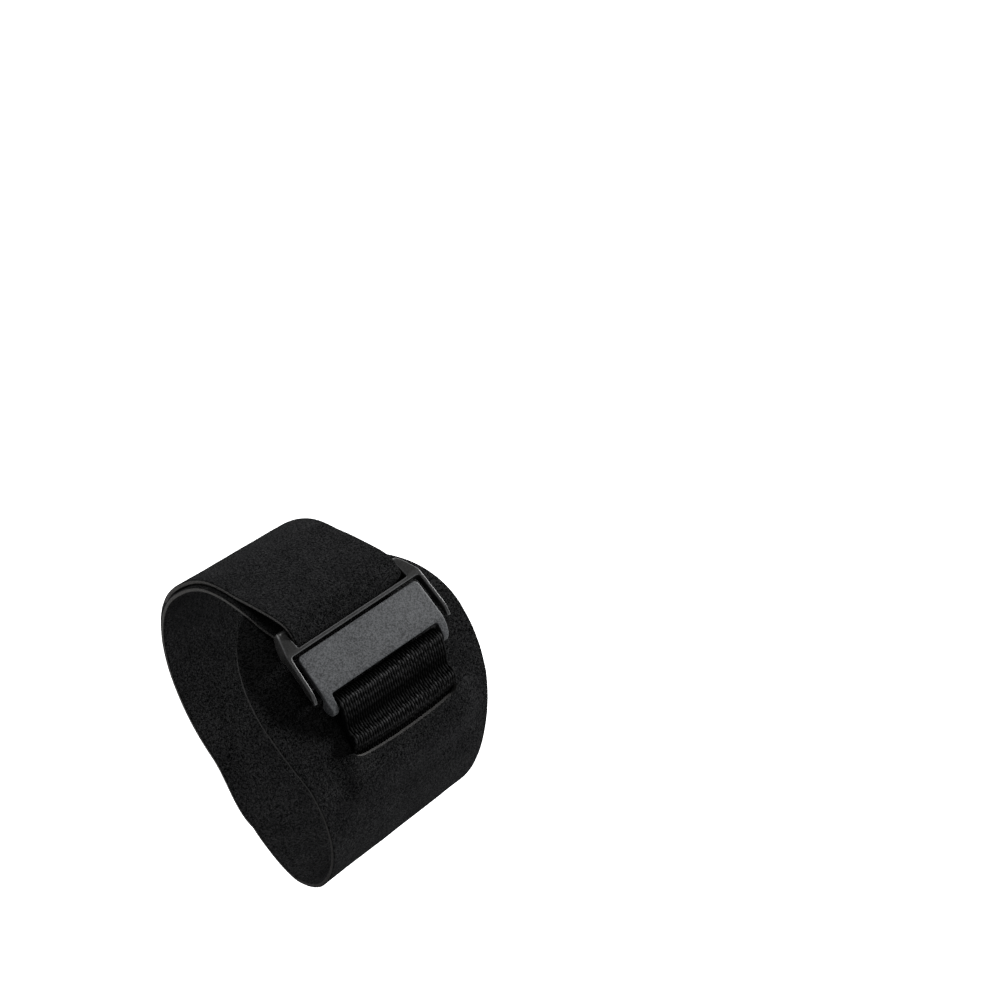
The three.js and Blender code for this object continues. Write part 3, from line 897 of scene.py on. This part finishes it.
# The two tones that each finish is mixed from
tones = {
    "pile": ((0.0004, 0.0005, 0.0006), (0.0285, 0.0285, 0.029)),
    "foam": ((0.052, 0.051, 0.05), (0.125, 0.122, 0.119)),
    "hook": ((0.012, 0.012, 0.013), (0.003, 0.003, 0.003)),
    "elastic": ((0.001, 0.001, 0.0012), (0.004, 0.004, 0.0045)),
    "yarn": ((0.0008, 0.0008, 0.0008), (0.09, 0.09, 0.092)),
    "frame": ((0.011, 0.011, 0.011), (0.026, 0.026, 0.026)),
    "plate": ((0.004, 0.005, 0.006), (0.09, 0.0935, 0.099)),
}
# Tone of the painted highlight on an edge, roughness, grain in millimetres and strength of its relief
plastics = {
    "frame": {"highlightTone": (0.115, 0.117, 0.12), "rough": 0.34, "grain": 0.5, "relief": 0.25},
    "plate": {"highlightTone": (0.08, 0.083, 0.087), "rough": 0.5, "grain": 0.45, "relief": 0.6},
}


def foamColour(s):
    threads = s.noise(0.3, 2)
    return s.blend(threads.step(0.3, 0.7), *tones["foam"])


def finishEdge(s):
    fibre = s.noise(0.3, 2)
    s.set(Base_Color=foamColour(s), Normal=s.bump(fibre, 0.3, 0.1))
    return s.set(Roughness=0.9, Specular_IOR_Level=0.1)


def velourSurface():
    s = Surface("velour", "velour")
    grain = s.noise(0.38, 2)
    speckle = s.noise(0.75, 2)
    patches = s.noise(9, 3)
    lit = grain.step(0.43, 0.6) * 0.6 + speckle.step(0.44, 0.6) * 0.4
    lit = lit * (patches.step(0.3, 0.7) * 0.35 + 0.65)
    pile = s.blend(lit, *tones["pile"])
    # the cut edge shows the laminate: dark cloth outside and inside, pale foam between
    # pale is lowered along the pad's edge, which paints shade there
    foam = (1 - s.attribute("depth").size().step(0.5, 0.7)) * s.attribute("pale")
    colour = s.blend(foam, pile, foamColour(s))
    height = grain * 0.6 + speckle * 0.7 + patches * 0.4
    s.set(Base_Color=colour, Roughness=0.95, Normal=s.bump(height, 1.0, 0.6))
    s.set(Sheen_Weight=0.025, Sheen_Roughness=0.5, Sheen_Tint=(0.6, 0.62, 0.65))
    return s.set(Specular_IOR_Level=0.0)


def hookSurface():
    s = Surface("hook_tape", "hook")
    cells = s.node("ShaderNodeTexVoronoi", inputs={"Vector": s.place(), "Scale": 1 / (0.9 * mm)})
    tone = s.blend(cells.step(0.1, 0.6), *tones["hook"])
    return s.set(Base_Color=tone, Roughness=0.8, Normal=s.bump(cells, 0.8, 0.4), Specular_IOR_Level=0.05)


def elasticSurface():
    s = Surface("elastic_cloth", "elastic")
    fuzz = s.noise(0.4, 3)
    tone = s.blend(fuzz.step(0.35, 0.7), *tones["elastic"])
    return s.set(Base_Color=tone, Roughness=0.9, Normal=s.bump(fuzz, 0.5, 0.2), Specular_IOR_Level=0.02)


# Yarn is painted lightest on the crowns of the stitches, a painted highlight with painted shade between
# them, and darker in the valley, at the slit and under the plate, which is painted shade
def finishYarn(s):
    fibre = s.noise(0.18, 2)
    patches = s.noise(3.5, 2)
    breaks = s.noise(0.75, 2)
    share = (fibre.step(0.35, 0.7) * 0.6 + 0.4) * (patches.step(0.25, 0.75) * 0.5 + 0.5)
    share = share * (breaks.step(0.36, 0.62) * 0.75 + 0.25)
    # painted light: the table's painted shade in the valley, at the slit and under the plate, and a
    # painted highlight on the stitch crowns
    share = share * s.attribute("paintedYarnLight") * (s.attribute("crown") * 0.7 + 0.3)
    tone = s.blend(share, *tones["yarn"])
    return s.set(Base_Color=tone, Roughness=0.7, Normal=s.bump(fibre, 0.5, 0.1), Specular_IOR_Level=0.03)


def plasticSurface(kind):
    made = plastics[kind]
    s = Surface(kind + "_plastic", kind + "_plastic")
    fine = s.noise(made["grain"], 3)
    broad = s.noise(6, 2)
    mottled = s.noise(1.1, 2)
    share = fine.step(0.38, 0.62) * 0.65 + mottled.step(0.35, 0.65) * 0.2 + broad.step(0.3, 0.7) * 0.15
    tone = s.blend(share, *tones[kind])
    # painted highlight along the outward edges of the moulding, where they catch light
    tone = s.blend(s.attribute("edge").step(0.2, 0.9) * (fine * 0.4 + 0.6), tone, made["highlightTone"])
    wear = broad * 0.12 + (made["rough"] - 0.06)
    s.set(Base_Color=tone, Roughness=wear, Normal=s.bump(fine, made["relief"], 0.06))
    return s.set(Specular_IOR_Level=0.25)


print("scene: surfaces")
finishEdge(edgeMaterial)
velour = velourSurface()
band.data.materials[0] = velour.material
hookSurface().paint(hookTab)
elasticSurface().paint(elasticPiece)
finishYarn(ribMaterial)
plasticSurface("frame").paint(framePiece)
plasticSurface("plate").paint(platePiece)

# Floor, light and camera

view = {
    "place": (-0.34738, -0.04451, 0.72555),
    "right": (0.71475, -0.58411, 0.38464),
    "up": (0.46945, 0.80835, 0.35522),
    "lens": 94.0,
    "floorSide": 20000,
    "floorZ": -450,
    "skyStrength": 0.13,
    # how far right, up and back each panel stands in metres, its size and its power
    "panels": {
        "key": ((1.0, 0.75, 0.02), 0.4, 25),
        "top": ((-0.5, 1.0, 0.08), 0.5, 6),
        "low": ((0.8, -0.5, 0.4), 0.5, 2),
    },
}
right, up = Vector(view["right"]).normalized(), Vector(view["up"])
back = right.cross(up).normalized()
up = back.cross(right)


def setCamera():
    data = bpy.data.cameras.new("photo_camera")
    data.lens, data.sensor_width = view["lens"], 36
    data.clip_start, data.clip_end = 0.05, 20
    camera = bpy.data.objects.new("photo_camera", data)
    turn = Matrix((right, up, back)).transposed().to_4x4()
    camera.matrix_world = Matrix.Translation(Vector(view["place"])) @ turn
    bpy.context.scene.collection.objects.link(camera)
    bpy.context.scene.camera = camera


# Soft panel placed by how far right, up and back it is from the strap, aimed at it
def panel(name, offset, size, power):
    data = bpy.data.lights.new(name, "AREA")
    data.shape, data.size, data.energy = "DISK", size, power
    light = bpy.data.objects.new(name, data)
    place = right * offset[0] + up * offset[1] + back * offset[2]
    light.matrix_world = Matrix.Translation(place) @ place.to_track_quat("Z", "Y").to_matrix().to_4x4()
    bpy.context.scene.collection.objects.link(light)


def setStage():
    side, low = view["floorSide"], view["floorZ"]
    corners = [(x * side, y * side, low) for x, y in ((-1, -1), (1, -1), (1, 1), (-1, 1))]
    floor = meshObject("floor", corners, [(0, 1, 2, 3)])
    pale = Surface("floor_paper", "floor")
    pale.set(Base_Color=(0.86, 0.86, 0.86), Roughness=0.9)
    pale.set(Emission_Color=(1.0, 1.0, 1.0), Emission_Strength=0.72)
    floor.data.materials.append(pale.material)
    world = bpy.data.worlds.new("studio")
    world.use_nodes = True
    sky = world.node_tree.nodes["Background"].inputs
    sky["Color"].default_value = (1, 1, 1, 1)
    sky["Strength"].default_value = view["skyStrength"]
    bpy.context.scene.world = world
    for name, (offset, size, power) in view["panels"].items():
        panel(name, offset, size, power)


print("scene: light and camera")
setCamera()
setStage()
bpy.context.scene.view_settings.view_transform = "Standard"

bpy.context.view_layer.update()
pieces = (band, hookTab, elasticPiece, ribs, framePiece, platePiece)
print("scene: done", {piece.name: len(piece.data.polygons) for piece in pieces})
